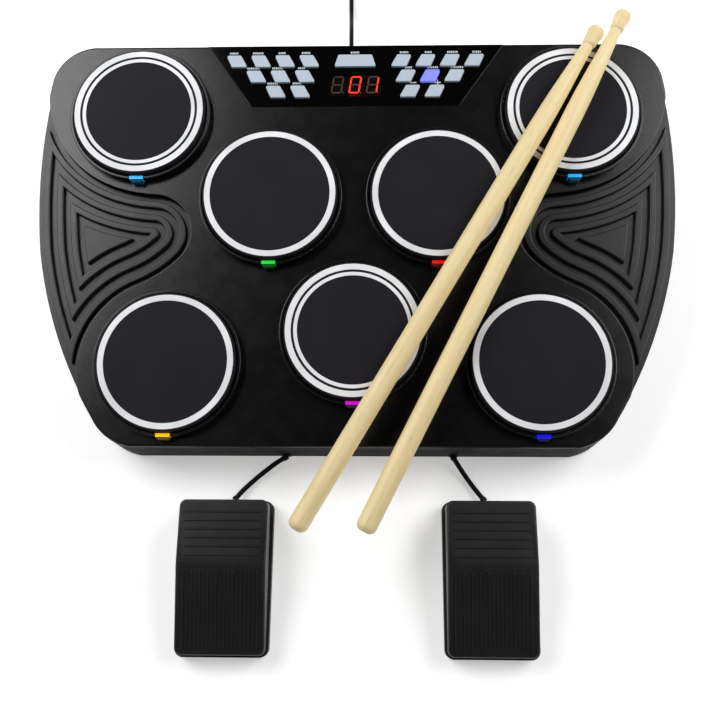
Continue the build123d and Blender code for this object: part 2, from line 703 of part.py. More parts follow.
TREADLE_TOP = [(1.5, SKIRT_FAR_Z), (PEDAL_L - 1.5, SKIRT_NEAR_Z), (PEDAL_L - 1.5, HEEL_TOP),
               (PEDAL_CREASE, PEDAL_TOP), (1.5, PEDAL_TOP)]
TREADLE_HOLLOW = [(1.5 + SKIN_T, 0), (PEDAL_L - 1.5 - SKIN_T, 0), (PEDAL_L - 1.5 - SKIN_T, HEEL_TOP - SKIN_T),
                  (PEDAL_CREASE - 0.4, PEDAL_TOP - SKIN_T), (1.5 + SKIN_T, PEDAL_TOP - SKIN_T)]
TREADLE_W = PEDAL_W - 3
SLOPE = (PEDAL_TOP - HEEL_TOP) / (PEDAL_L - 1.5 - PEDAL_CREASE)
GRIP_H = 0.7
GRIP_W = 1.2

for pedal, x in PEDAL_X.items():
    far_y = CENTRE_Y + PEDAL_FAR_Y
    entry = meets_wall(PEDAL_ROUTES[pedal][-1], PEDAL_ROUTES[pedal][-2], PEDAL_FAR_Y + ENTRY_FACE)
    hinge = (x, far_y - HINGE_FROM_FAR, HINGE_Z)

    with BuildPart() as base:
        with BuildSketch(Plane((x, far_y - PEDAL_L / 2, PEDAL_BASE_Z))):
            RectangleRounded(PEDAL_W, PEDAL_L, 6)
        extrude(amount=PEDAL_FLANGE_TOP - PEDAL_BASE_Z)
        with BuildSketch(Plane((x, far_y - PEDAL_L / 2, FLOOR_Z))):
            RectangleRounded(BASE_W - 2 * BASE_WALL, PEDAL_L - 8 - 2 * BASE_WALL, 2)
        extrude(amount=30, mode=Mode.SUBTRACT)
        with BuildSketch(Plane((x, far_y - PEDAL_L / 2, PEDAL_FLANGE_TOP))):
            RectangleRounded(BASE_W, PEDAL_L - 10, 3)
            RectangleRounded(BASE_W - 2 * BASE_WALL, PEDAL_L - 10 - 2 * BASE_WALL, 2, mode=Mode.SUBTRACT)
        extrude(amount=8)
        with BuildSketch(Plane((x, far_y, 0), x_dir=(0, -1, 0), z_dir=(-1, 0, 0))):
            Polygon((4, 16), (12, 15.6), (60, 9.4), (84, PEDAL_FLANGE_TOP), (PEDAL_L, PEDAL_FLANGE_TOP),
                    (PEDAL_L, 30), (4, 30), align=None)
        extrude(amount=PEDAL_W, both=True, mode=Mode.SUBTRACT)
        for side in (-1, 1):
            with BuildSketch(Plane((x + side * (EAR_X + 4), hinge[1], FLOOR_Z))):
                Rectangle(3, 8)
            extrude(amount=HINGE_Z - FLOOR_Z + 2.6)
        with BuildSketch(Plane((x, hinge[1], HINGE_Z), z_dir=(1, 0, 0))):
            Circle(PIN_R + 0.02)
        extrude(amount=PEDAL_W / 2 - 4.5, both=True, mode=Mode.SUBTRACT)
        with BuildSketch(Plane((entry.X, far_y + 1, entry.Z), z_dir=(0, -1, 0))):
            Circle(ENTRY_R + 0.05)
        extrude(amount=9, mode=Mode.SUBTRACT)
        with BuildSketch(Plane((x, far_y - SPRING_FROM_FAR, FLOOR_Z))):
            Circle(3.5)
        extrude(amount=3)
    save(base, f"{pedal}_pedal_base")

    with BuildPart() as treadle:
        add(pedal_side(TREADLE_W, TREADLE_TOP, x))
        fillet(treadle.edges().filter_by(Axis.Z), 4.5)
        tops = treadle.faces().filter_by(lambda f: f.normal_at().Z > 0.5)
        fillet(tops.edges().filter_by(lambda e: abs((e % 0.5).X) < 0.9 or abs((e @ 0.5).X - x) > 20), 1.6)
        add(pedal_side(TREADLE_W - 2 * SKIN_T, TREADLE_HOLLOW, x), mode=Mode.SUBTRACT)
        for side in (-1, 1):
            with BuildSketch(Plane((x + side * EAR_X, hinge[1], HINGE_Z - 2.6))):
                Rectangle(3, 6)
            extrude(amount=HEEL_TOP - 1.0 - HINGE_Z + 2.6)
        with BuildSketch(Plane((x, hinge[1], HINGE_Z), z_dir=(1, 0, 0))):
            Circle(PIN_R + 0.05)
        extrude(amount=PEDAL_W / 2 - 4.5, both=True, mode=Mode.SUBTRACT)
        with BuildSketch(Plane((x, far_y - SPRING_FROM_FAR, PEDAL_TOP - SKIN_T))):
            Circle(3.5)
        extrude(amount=-2.5)
        with BuildSketch(Plane((x, far_y - SWITCH_FROM_FAR, PRESSER_Z))):
            Rectangle(6, 6)
        extrude(amount=24.2 - PRESSER_Z)
        with BuildSketch(Plane((x, far_y, PEDAL_TOP - 0.2))):
            with Locations((0, -9.5 - 2.5 * 5.6)):
                with GridLocations(0, 5.6, 1, 6):
                    SlotOverall(50, GRIP_W)
        extrude(amount=GRIP_H + 0.2)
        sole = Plane((x, far_y - PEDAL_CREASE, PEDAL_TOP), x_dir=(1, 0, 0), z_dir=(0, -SLOPE, 1))
        with BuildSketch(sole.offset(-0.2)):
            with Locations((0, -5 - 24.5)):
                with GridLocations(5.4, 0, 10, 1):
                    SlotOverall(49, GRIP_W, rotation=90)
        extrude(amount=GRIP_H + 0.2)
    save(treadle, f"{pedal}_pedal_treadle")

    spring_top = PEDAL_TOP - SKIN_T
    with BuildPart() as spring:
        with BuildLine() as turns:
            Helix(pitch=3.2, height=spring_top - FLOOR_Z - 2 * SPRING_WIRE - 0.2,
                  radius=SPRING_R - SPRING_WIRE,
                  center=(x, far_y - SPRING_FROM_FAR, FLOOR_Z + SPRING_WIRE + 0.1))
        coil = turns.wires()[0]
        with BuildSketch(Plane(origin=coil @ 0, z_dir=coil % 0)):
            Circle(SPRING_WIRE)
        sweep(path=coil)
    save(spring, f"{pedal}_pedal_spring")

with BuildPart() as pedal_pins:
    for x in PEDAL_X.values():
        with BuildSketch(Plane((x, CENTRE_Y + PEDAL_FAR_Y - HINGE_FROM_FAR, HINGE_Z), z_dir=(1, 0, 0))):
            Circle(PIN_R)
        extrude(amount=PEDAL_W / 2 - 5, both=True)
save(pedal_pins, "pedal_pins")

with BuildPart() as pedal_switches:
    with BuildSketch(Plane((0, CENTRE_Y + PEDAL_FAR_Y - SWITCH_FROM_FAR, FLOOR_Z))):
        with Locations(*[(x, 0) for x in PEDAL_X.values()]):
            Rectangle(20, 14)
    extrude(amount=BOARD_T)
    with BuildSketch(Plane((0, CENTRE_Y + PEDAL_FAR_Y - SWITCH_FROM_FAR, FLOOR_Z + BOARD_T))):
        with Locations(*[(x, 0) for x in PEDAL_X.values()]):
            Rectangle(12, 8)
    extrude(amount=6)
save(pedal_switches, "pedal_switches")

# ---- pedal cords and their glands --------------------------------------------------------
BOOT_R = 2.2


def boot(end, beside, root):
    """A cord's strain relief, in line with the cord's end run, back to its root on the wall."""
    way = (Vector(*end) - Vector(*beside)).normalized()
    with BuildPart() as piece:
        with BuildSketch(Plane(origin=Vector(*end), z_dir=way)):
            Circle(BOOT_R)
        extrude(amount=(root - Vector(*end)).length)
    return piece.part


with BuildPart() as cord_glands:
    for exit_point, route in zip(EXITS, PEDAL_ROUTES.values()):
        with BuildSketch(Plane((exit_point.X, exit_point.Y + CENTRE_Y, exit_point.Z), z_dir=(0, 1, 0))):
            Circle(GLAND_FLANGE_R)
        extrude(amount=GLAND_FLANGE_T)
        with BuildSketch(Plane((exit_point.X, CENTRE_Y - BACK_WALL_Y, exit_point.Z), z_dir=(0, 1, 0))):
            Circle(GLAND_R)
        extrude(amount=WALL)
        with BuildSketch(Plane((exit_point.X, CENTRE_Y - BACK_WALL_Y + WALL, exit_point.Z), z_dir=(0, 1, 0))):
            Circle(GLAND_FLANGE_R)
        extrude(amount=1.4)
        points = placed(route)
        add(boot(points[0], points[1], exit_point + Vector(0, CENTRE_Y, 0)))
        entry = meets_wall(points[-1], points[-2], CENTRE_Y + PEDAL_FAR_Y + ENTRY_FACE)
        with BuildSketch(Plane(origin=entry, z_dir=(0, -1, 0))):
            Circle(ENTRY_R)
        extrude(amount=ENTRY_FACE + 6)
        add(boot(points[-1], points[-2], entry))
save(cord_glands, "cord_glands")

for pedal, route in PEDAL_ROUTES.items():
    save(cord_tube(placed(route), CORD_R), f"{pedal}_pedal_cord")

# ---- USB plug at the power cord's far end ------------------------------------------------
tail_end = Vector(*placed(TAIL_ROUTE)[-1])
tail_way = (tail_end - Vector(*placed(TAIL_ROUTE)[-2])).normalized()


def plug_section(along):
    """The plane across the plug, some way along from its cord end."""
    return Plane(origin=tail_end + tail_way * along, x_dir=tail_way.cross(Vector(0, 0, 1)), z_dir=tail_way)


with BuildPart() as power_plug:
    with BuildSketch(plug_section(0)):
        RectangleRounded(9, 6, 2)
    extrude(amount=8)
    with BuildSketch(plug_section(8)):
        RectangleRounded(16, 7.6, 2)
    extrude(amount=22)
    with BuildSketch(plug_section(30)):
        Rectangle(12, 4.5)
    extrude(amount=12)
save(power_plug, "power_plug")

# ---- drumsticks --------------------------------------------------------------------------
# Middle and bearing on the deck.
STICKS = {"left": ((68.4, -26.2), 59.2), "right": ((99.9, -20.6), 63.1)}
TIP_R = 5.4
TIP_L = 16.0
NECK_R = 4.0
STICK_H = PAD_TOP + STICK_GAP + STICK_R
for stick, ((x, y), bearing) in STICKS.items():
    along = deck.offset(STICK_H)
    middle = along.from_local_coords(Vector(x, y, 0))
    way = along.from_local_coords(Vector(x + cos(radians(bearing)), y + sin(radians(bearing)), 0)) - middle
    with BuildPart() as drumstick:
        with BuildSketch(Plane(origin=middle, x_dir=way, z_dir=Vector(*DECK_NORMAL).cross(way))):
            with BuildLine():
                end = Line((-STICK_L / 2, 0), (-STICK_L / 2, 3.0))
                butt = ThreePointArc(end @ 1, (-STICK_L / 2 + 1.4, 5.5), (-STICK_L / 2 + 5, STICK_R))
                shaft = Line(butt @ 1, (STICK_L / 2 - 88, STICK_R))
                shoulder = Spline(shaft @ 1, (STICK_L / 2 - 50, 5.7), (STICK_L / 2 - TIP_L, NECK_R),
                                  tangents=[(1, 0), (1, -0.04)])
                tip = Spline(shoulder @ 1, (STICK_L / 2 - TIP_L + 2.2, 5.0), (STICK_L / 2 - 8.5, TIP_R),
                             (STICK_L / 2, 0), tangents=[(0.5, 1), (0, -1)])
                Line(tip @ 1, end @ 0)
            make_face()
        revolve(axis=Axis(middle, way))
    save(drumstick, f"drumstick_{stick}")
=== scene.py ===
"""Looks of the electronic drum pad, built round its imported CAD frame.  Metres, +Z up."""
import math

import bmesh
import bpy
from mathutils import Matrix, Vector


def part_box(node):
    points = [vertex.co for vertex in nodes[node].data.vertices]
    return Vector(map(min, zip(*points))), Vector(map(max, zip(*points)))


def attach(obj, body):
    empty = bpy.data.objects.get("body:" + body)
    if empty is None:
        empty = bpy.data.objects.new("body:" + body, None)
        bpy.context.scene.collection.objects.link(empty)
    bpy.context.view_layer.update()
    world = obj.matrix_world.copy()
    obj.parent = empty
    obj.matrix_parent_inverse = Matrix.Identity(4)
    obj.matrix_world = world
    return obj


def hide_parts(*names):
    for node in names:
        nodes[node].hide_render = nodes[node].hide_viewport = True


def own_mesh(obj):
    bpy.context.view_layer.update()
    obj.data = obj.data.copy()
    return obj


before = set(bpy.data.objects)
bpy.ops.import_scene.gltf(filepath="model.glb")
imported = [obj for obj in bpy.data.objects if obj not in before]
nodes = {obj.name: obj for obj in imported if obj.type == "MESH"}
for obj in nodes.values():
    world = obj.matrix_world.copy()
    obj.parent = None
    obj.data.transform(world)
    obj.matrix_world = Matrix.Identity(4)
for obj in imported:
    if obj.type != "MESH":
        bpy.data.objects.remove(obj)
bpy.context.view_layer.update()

# ---- the deck's own frame: u across, v up the slope, h above the deck, in millimetres ----------
MM = 0.001
TILT = math.radians(6.5)
DRUM_Y = 0.0578              # middle of the drum
DECK_Z = 0.053               # height of the deck there
DECK = (Matrix.Translation((0, DRUM_Y, DECK_Z)) @ Matrix.Rotation(TILT, 4, "X")
        @ Matrix.Scale(MM, 4))
TO_DECK = DECK.inverted()
PLAN = Matrix.Translation((0, DRUM_Y, 0)) @ Matrix.Scale(MM, 4)   # x, y from the drum's middle, z

PAD_TOP = 9.0
RING_R = 46.0
RIM_R = 50.5
WALL_TOP = -1.5
RIDGE_TOP = -2.0
FASCIA_TOP = -0.4
MODULE_TOP = -2.4


# ---- materials ---------------------------------------------------------------------------------
def plastic(name, colour, roughness, **sockets):
    """A principled material; sockets are other inputs, by name with _ for a space."""
    material = bpy.data.materials.new(name)
    material.use_nodes = True
    shader = material.node_tree.nodes["Principled BSDF"]
    shader.inputs["Base Color"].default_value = (*colour, 1)
    shader.inputs["Roughness"].default_value = roughness
    for socket, value in sockets.items():
        shader.inputs[socket.replace("_", " ")].default_value = value
    return material


def node_of(material, kind, **settings):
    node = material.node_tree.nodes.new(kind)
    for name, value in settings.items():
        if name in node.inputs:
            node.inputs[name].default_value = value
        else:
            setattr(node, name, value)
    return node


def link(material, source, target):
    material.node_tree.links.new(source, target)


def shader_of(material):
    return material.node_tree.nodes["Principled BSDF"]


def coordinates(material, place=None):
    """Object coordinates, or those along a frame whose scale stretches the pattern."""
    source = node_of(material, "ShaderNodeTexCoord").outputs["Object"]
    if place is None:
        return source
    location, rotation, stretch = place
    mapping = node_of(material, "ShaderNodeMapping", vector_type="TEXTURE")
    mapping.inputs["Location"].default_value = location
    mapping.inputs["Rotation"].default_value = rotation
    mapping.inputs["Scale"].default_value = stretch
    link(material, source, mapping.inputs["Vector"])
    return mapping.outputs["Vector"]


def noise(material, size, detail=3.0, place=None, distortion=0.0):
    """Noise whose blobs are about size metres across."""
    texture = node_of(material, "ShaderNodeTexNoise", Scale=1 / size, Detail=detail, Distortion=distortion)
    link(material, coordinates(material, place), texture.inputs["Vector"])
    return texture.outputs["Fac"]


def ramp(material, factor, *stops):
    """A colour ramp through (position, colour) stops; a plain number is a grey."""
    node = node_of(material, "ShaderNodeValToRGB")
    elements = node.color_ramp.elements
    while len(elements) < len(stops):
        elements.new(0.5)
    for element, (position, colour) in zip(elements, stops):
        element.position = position
        element.color = (*colour, 1) if hasattr(colour, "__len__") else (colour, colour, colour, 1)
    link(material, factor, node.inputs["Fac"])
    return node.outputs["Color"]


def bump(material, height, distance, strength=1.0, under=None):
    node = node_of(material, "ShaderNodeBump", Strength=strength, Distance=distance)
    link(material, height, node.inputs["Height"])
    if under is not None:
        link(material, under, node.inputs["Normal"])
    return node.outputs["Normal"]


def moulded(name, colour, roughness, grain=0.0006, depth=0.00004, vary=0.25, **sockets):
    """Textured moulded plastic: fine spark-eroded grain, and shade and gloss that vary a little."""
    material = plastic(name, colour, roughness, **sockets)
    shader = shader_of(material)
    broad = noise(material, 0.05, 4.0)
    darker = [c * (1 - vary) for c in colour]
    lighter = [c * (1 + vary) for c in colour]
    shade = ramp(material, broad, (0.3, darker), (0.7, lighter))
    link(material, shade, shader.inputs["Base Color"])
    gloss = ramp(material, noise(material, 0.012, 3.0), (0.3, roughness * 0.92), (0.7, roughness * 1.08))
    link(material, gloss, shader.inputs["Roughness"])
    link(material, bump(material, noise(material, grain, 2.0), depth), shader.inputs["Normal"])
    return material


def lamp(name, colour, strength, roughness=0.25):
    """Coloured clear plastic lit from behind."""
    material = plastic(name, colour, roughness, Emission_Strength=strength, Coat_Weight=0.3)
    shader = shader_of(material)
    shader.inputs["Emission Color"].default_value = (*colour, 1)
    return material


def rubber(name, colour, roughness=0.7, grain=0.0005, depth=0.00003):
    material = plastic(name, colour, roughness, Specular_IOR_Level=0.16)
    shader = shader_of(material)
    darker = [c * 0.88 for c in colour]
    lighter = [c * 1.12 for c in colour]
    shade = ramp(material, noise(material, 0.03, 4.0), (0.3, darker), (0.7, lighter))
    link(material, shade, shader.inputs["Base Color"])
    link(material, bump(material, noise(material, grain, 3.0), depth), shader.inputs["Normal"])
    return material


def metal(name, colour, roughness):
    material = plastic(name, colour, roughness, Metallic=1.0)
    shader = shader_of(material)
    gloss = ramp(material, noise(material, 0.004, 4.0), (0.3, roughness * 0.8), (0.7, roughness * 1.3))
    link(material, gloss, shader.inputs["Roughness"])
    return material


def maple(name, middle, rotation, seed):
    """Pale sapwood, matt, with fine short flecks along the stick's own x axis."""
    light, deep = (0.95, 0.80, 0.455), (0.88, 0.68, 0.35)
    material = plastic(name, light, 0.5)
    shader = shader_of(material)
    offset = Vector((0.01 * seed, 0.031 + 0.007 * seed, 0.019))
    long_grain = (middle + offset, rotation, (16, 1, 1))
    flecks = (middle + offset, rotation, (9, 1, 1))
    bands = ramp(material, noise(material, 0.0035, 3.0, long_grain), (0.38, light), (0.78, deep))
    broad = ramp(material, noise(material, 0.02, 3.0, long_grain), (0.3, (0.95, 0.93, 0.90)), (0.7, 1.0))
    pores = ramp(material, noise(material, 0.0008, 2.0, flecks), (0.30, (0.80, 0.70, 0.55)), (0.42, 1.0))
    shade = bands
    for factor, amount in ((broad, 1.0), (pores, 0.5)):
        mix = node_of(material, "ShaderNodeMix", data_type="RGBA", blend_type="MULTIPLY")
        mix.inputs["Factor"].default_value = amount
        link(material, shade, mix.inputs["A"])
        link(material, factor, mix.inputs["B"])
        shade = mix.outputs["Result"]
    link(material, shade, shader.inputs["Base Color"])
    link(material, bump(material, pores, 0.00002), shader.inputs["Normal"])
    return material


deck_plastic = moulded("deck_plastic", (0.0022, 0.0021, 0.0025), 0.27, grain=0.0009, depth=0.00004)
rim_plastic = moulded("rim_plastic", (0.0015, 0.0015, 0.0017), 0.28, depth=0.00001)
lower_plastic = moulded("lower_plastic", (0.003, 0.003, 0.0033), 0.6, Specular_IOR_Level=0.08)
side_plastic = moulded("side_plastic", (0.007, 0.0068, 0.0075), 0.36, depth=0.00003)
fascia_gloss = plastic("fascia_gloss", (0.0012, 0.0012, 0.0014), 0.09)
display_glass = plastic("display_glass", (0.45, 0.42, 0.42), 0.03, Transmission_Weight=1.0)
display_module = plastic("display_module", (0.004, 0.003, 0.003), 0.6)
display_lit = lamp("display_lit", (1.0, 0.045, 0.006), 3.0)
display_dim = plastic("display_dim", (0.30, 0.23, 0.16), 0.5)
key_plastic = moulded("key_plastic", (0.53, 0.61, 0.70), 0.34, grain=0.0004, depth=0.00001, vary=0.04,
                      Subsurface_Weight=0.15, Subsurface_Radius=(0.001, 0.001, 0.001))
key_lit = lamp("key_lit", (0.20, 0.22, 0.90), 0.55)
panel_print = plastic("panel_print", (0.62, 0.66, 0.68), 0.5)
pad_rubber = rubber("pad_rubber", (0.0115, 0.0100, 0.0142), 0.66)
pad_print = rubber("pad_print", (0.86, 0.87, 0.89), 0.5, depth=0.00001)
foot_rubber = rubber("foot_rubber", (0.02, 0.02, 0.02), 0.8)
cord_rubber = rubber("cord_rubber", (0.005, 0.005, 0.0055), 0.5, grain=0.0012, depth=0.00001)
gland_rubber = rubber("gland_rubber", (0.012, 0.012, 0.012), 0.55)
pedal_plastic = moulded("pedal_plastic", (0.0095, 0.009, 0.0105), 0.42)
pedal_base_plastic = moulded("pedal_base_plastic", (0.02, 0.021, 0.021), 0.5)
circuit_board = moulded("circuit_board", (0.02, 0.12, 0.05), 0.4)
switch_plastic = plastic("switch_plastic", (0.02, 0.02, 0.02), 0.5)
foam = moulded("foam", (0.05, 0.05, 0.05), 0.95, grain=0.0012, depth=0.0003)
plate_steel = metal("plate_steel", (0.56, 0.56, 0.57), 0.35)
piezo_brass = metal("piezo_brass", (0.78, 0.58, 0.26), 0.3)
screw_steel = metal("screw_steel", (0.5, 0.5, 0.5), 0.32)
spring_steel = metal("spring_steel", (0.6, 0.6, 0.6), 0.25)
speaker_metal = moulded("speaker_metal", (0.02, 0.02, 0.02), 0.5)

LIGHT_COLOURS = {
    "light_blue": (0.02, 0.40, 0.85),
    "light_green": (0.02, 0.62, 0.05),
    "light_red": (0.75, 0.01, 0.01),
    "light_amber": (1.0, 0.52, 0.01),
    "light_magenta": (0.62, 0.01, 0.60),
    "light_deep_blue": (0.005, 0.01, 0.75),
}
LIGHT_STRENGTH = 0.5
# Painted shade: each window's lower lip takes a darker, unlit copy of its colour, at this share of it.
LIP_SHADE = 0.25              # of a window's colour, on its lower lip
light_materials = {name: lamp(name, colour, LIGHT_STRENGTH) for name, colour in LIGHT_COLOURS.items()}
lip_shade_materials = {name: plastic(name + "_painted_shade_lip", [LIP_SHADE * c for c in colour], 0.3)
                 for name, colour in LIGHT_COLOURS.items()}


# ---- pieces ------------------------------------------------------------------------------------
def piece_from(work, name, body, materials, replaced=(), sharp=35):
    """A mesh piece from a bmesh in the row frame, smooth except at sharp corners."""
    mesh = bpy.data.meshes.new(name)
    work.to_mesh(mesh)
    work.free()
    if "custom_normal" in mesh.attributes:
        mesh.attributes.remove(mesh.attributes["custom_normal"])
    for polygon in mesh.polygons:
        polygon.use_smooth = True
    mesh.set_sharp_from_angle(angle=math.radians(sharp))
    for material in materials:
        mesh.materials.append(material)
    piece = bpy.data.objects.new(name, mesh)
    bpy.context.scene.collection.objects.link(piece)
    weighted = piece.modifiers.new("weighted_normals", "WEIGHTED_NORMAL")
    weighted.keep_sharp = True
    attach(piece, body)
    if replaced:
        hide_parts(*replaced)


def copy_of(node):
    """A clean bmesh of a CAD node, its flat faces whole."""
    work = bmesh.new()
    work.from_mesh(nodes[node].data)
    bmesh.ops.remove_doubles(work, verts=work.verts, dist=1e-6)
    bmesh.ops.dissolve_limit(work, angle_limit=math.radians(0.4), verts=work.verts, edges=work.edges)
    return work


def corner_angle(edge):
    return edge.calc_face_angle_signed(0.0)


def round_corners(work, width, chosen, segments=2, least=40):
    """Bevels the outward corners that chosen picks."""
    picked = [e for e in work.edges if corner_angle(e) > math.radians(least) and chosen(e)]
    bmesh.ops.bevel(work, geom=picked, offset=width, segments=segments, profile=0.5, affect="EDGES",
                    clamp_overlap=False)


def deck_height(point):
    return (TO_DECK @ point).z


def levels(edge):
    """Heights above the deck of an edge's two ends."""
    return [deck_height(v.co) for v in edge.verts]


def near(values, height, slack=0.08):
    return all(abs(value - height) < slack for value in values)


def give(node, material):
    """A CAD node keeps its shape and gets its material."""
    materials = nodes[node].data.materials
    materials.clear()
    materials.append(material)


def plate(work, points, low, high):
    """A prism on the given outline, between two heights above the deck."""
    rings = [[work.verts.new(DECK @ Vector((x, y, z))) for x, y in points] for z in (low, high)]
    work.faces.new(rings[1])
    work.faces.new(rings[0][::-1])
    for i in range(len(points)):
        j = (i + 1) % len(points)
        work.faces.new((rings[0][i], rings[0][j], rings[1][j], rings[1][i]))


def circle(x, y, radius, count):
    """Points round a circle, anticlockwise."""
    return [(x + radius * math.cos(2 * math.pi * k / count), y + radius * math.sin(2 * math.pi * k / count))
            for k in range(count)]


def annulus(work, x, y, outer, inner, low, high, count=144, edge=0.03):
    """A flat ring with slightly eased top edges."""
    profile = [(outer, low), (outer, high - edge), (outer - edge, high), (inner + edge, high),
               (inner, high - edge), (inner, low)]
    loops = []
    for radius, height in profile:
        around = circle(x, y, radius, count)
        loops.append([work.verts.new(DECK @ Vector((px, py, height))) for px, py in around])
    for here, there in zip(loops, loops[1:] + loops[:1]):
        for k in range(count):
            n = (k + 1) % count
            work.faces.new((here[k], here[n], there[n], there[k]))


# ---- casing ------------------------------------------------------------------------------------
pad_centres = []
for number in range(1, 8):
    low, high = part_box(f"pad_skin_{number}")
    middle = TO_DECK @ ((low + high) / 2)
    pad_centres.append((middle.x, middle.y))


RIM_REACH = RIM_R + 0.3       # a face nearer to a pad's middle than this, and above the deck, is on the rim
RIM_LEVEL = 0.15
CUP_REACH = RIM_R - 2.2       # a face nearer than this is in the cup
WALL_SLOPE = 0.5              # an outer wall's normal rises less than this
DECK_BEVEL = 0.0005
RIDGE_BEVEL = 0.0009
TREADLE_BEVEL = 0.00025
SKIRT_H = 0.002               # the lowest edges of a treadle, which stay sharp


def make_top_casing():
    """The upper casing, with glossier rims and cups and duller outer walls."""
    work = copy_of("top_casing")
    round_corners(work, DECK_BEVEL, lambda e: near(levels(e), 0.0))
    to_deck = TO_DECK.to_3x3()
    for face in work.faces:
        middle = TO_DECK @ face.calc_center_median()
        reach = min(math.hypot(middle.x - x, middle.y - y) for x, y in pad_centres)
        on_rim = reach < RIM_REACH and middle.z > RIM_LEVEL
        on_wall = abs((to_deck @ face.normal).normalized().z) < WALL_SLOPE and middle.z < WALL_TOP
        if on_rim or reach < CUP_REACH:
            face.material_index = 1
        elif on_wall:
            face.material_index = 2
        else:
            face.material_index = 0
    materials = [deck_plastic, rim_plastic, lower_plastic]
    piece_from(work, "top_casing_shell", "drum", materials, ["top_casing"])


def make_side_panels():
    """The ribbed side panels, with rounded ridges."""
    work = copy_of("side_panels")
    round_corners(work, RIDGE_BEVEL, lambda e: near(levels(e), RIDGE_TOP), segments=3)
    piece_from(work, "side_panel_ridges", "drum", [side_plastic], ["side_panels"])


def make_treadles():
    """The pedals' treadles with eased edges on their ribs and rims."""
    for side in ("left", "right"):
        work = copy_of(f"{side}_pedal_treadle")
        low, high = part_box(f"{side}_pedal_treadle")
        skirt = low.z + SKIRT_H
        round_corners(work, TREADLE_BEVEL, lambda e: min(v.co.z for v in e.verts) > skirt,
                      segments=1, least=50)
        piece_from(work, f"{side}_treadle_shell", f"{side}_treadle", [pedal_plastic],
                   [f"{side}_pedal_treadle"])


def squash_springs():
    """Each return spring gets a mesh of its own."""
    for side in ("left", "right"):
        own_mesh(nodes[f"{side}_pedal_spring"])


# ---- pads --------------------------------------------------------------------------------------
DOUBLE_RINGS = (1, 4, 6)
BAND = 4.15
INNER_BAND = 2.5
BAND_GAP = 1.7
PRINT_FOOT = PAD_TOP - 0.02
PRINT_TOP = PAD_TOP + 0.05
PRINT_INSET = 0.1             # from the edge of a pad's flat top
WINDOW_COLOURS = ["light_blue", "light_green", "light_red", "light_blue", "light_amber", "light_magenta",
                  "light_deep_blue"]


def make_pad_rings():
    """White rings printed on the pads, double on three of them."""
    for number, (x, y) in enumerate(pad_centres, 1):
        work = bmesh.new()
        annulus(work, x, y, RING_R - PRINT_INSET, RING_R - BAND, PRINT_FOOT, PRINT_TOP)
        if number in DOUBLE_RINGS:
            outer = RING_R - BAND - BAND_GAP
            annulus(work, x, y, outer, outer - INNER_BAND, PRINT_FOOT, PRINT_TOP)
        piece_from(work, f"pad_ring_{number}", "drum", [pad_print])


# Rows of an indicator window, from the rim forwards: distance, half width, height above the deck.
WINDOW_ROWS = [(0.0, 4.75, 6.2), (1.7, 4.7, 6.0), (1.9, 4.65, 6.35), (2.4, 4.55, 6.35), (2.6, 4.5, 5.9),
               (3.5, 3.9, 5.4), (4.2, 3.0, 4.8)]
WINDOW_BACK_R = 48.2
WINDOW_FOOT = 0.2
RIDGE_ROW = 3


def make_indicators():
    """Windows let into the front of each rim, with a ridge across and painted shade on the lower lip, a
    darker unlit copy of the window's colour.
    """
    for number, (x, y) in enumerate(pad_centres, 1):
        work = bmesh.new()
        rows = []
        for forward, half, height in WINDOW_ROWS:
            corners = [(-half, WINDOW_FOOT), (-half, height), (half, height), (half, WINDOW_FOOT)]
            rows.append([work.verts.new(DECK @ Vector((x + px, y - WINDOW_BACK_R - forward, pz)))
                         for px, pz in corners])
        for number_of_row, (here, there) in enumerate(zip(rows, rows[1:])):
            for k in range(4):
                n = (k + 1) % 4
                face = work.faces.new((here[k], here[n], there[n], there[k]))
                # rows from the ridge forwards, and the front face, take the lip's painted shade
                face.material_index = 1 if number_of_row >= RIDGE_ROW else 0
        work.faces.new(rows[0][::-1])
        work.faces.new(rows[-1]).material_index = 1
        bmesh.ops.recalc_face_normals(work, faces=work.faces)
        colour = WINDOW_COLOURS[number - 1]
        replaced = ["indicator_windows"] if number == 1 else ()
        materials = [light_materials[colour], lip_shade_materials[colour]]
        piece_from(work, f"indicator_{number}", "drum", materials, replaced, sharp=30)


# ---- control panel -----------------------------------------------------------------------------
DIGIT_W = 8.0
DIGIT_H = 13.4
DIGIT_BOTTOM = 109.3
DIGIT_LEFTS = (-17.8, -5.0, 7.7)
DIGIT_SLANT = 0.16
SEGMENT_W = 1.0
SEGMENT_GAP = 0.25
ALL_SEGMENTS = "abcdefg"
SHOWN = ("", "abcdef", "bc")
DOT_FROM_DIGIT = 1.0
DOT_RISE = 0.5
DOT_R = 0.6
SEGMENT_FOOT = MODULE_TOP - 0.02
SEGMENT_TOP = MODULE_TOP + 0.04


def segment_outline(letter, left):
    """One segment of a slanted digit, as a six-sided bar with pointed ends."""
    half, gap = SEGMENT_W / 2, SEGMENT_GAP
    low, mid, high = half, DIGIT_H / 2, DIGIT_H - half
    near_x, far_x = half, DIGIT_W - half
    ends = {"a": ((near_x, high), (far_x, high)), "b": ((far_x, mid), (far_x, high)),
            "c": ((far_x, low), (far_x, mid)), "d": ((near_x, low), (far_x, low)),
            "e": ((near_x, low), (near_x, mid)), "f": ((near_x, mid), (near_x, high)),
            "g": ((near_x, mid), (far_x, mid))}[letter]
    (x0, y0), (x1, y1) = ends
    if y0 == y1:
        points = [(x0 + gap, y0), (x0 + gap + half, y0 - half), (x1 - gap - half, y0 - half),
                  (x1 - gap, y0), (x1 - gap - half, y0 + half), (x0 + gap + half, y0 + half)]
    else:
        points = [(x0, y0 + gap), (x0 + half, y0 + gap + half), (x0 + half, y1 - gap - half),
                  (x0, y1 - gap), (x0 - half, y1 - gap - half), (x0 - half, y0 + gap + half)]
    return [(left + x + DIGIT_SLANT * y, DIGIT_BOTTOM + y) for x, y in points]


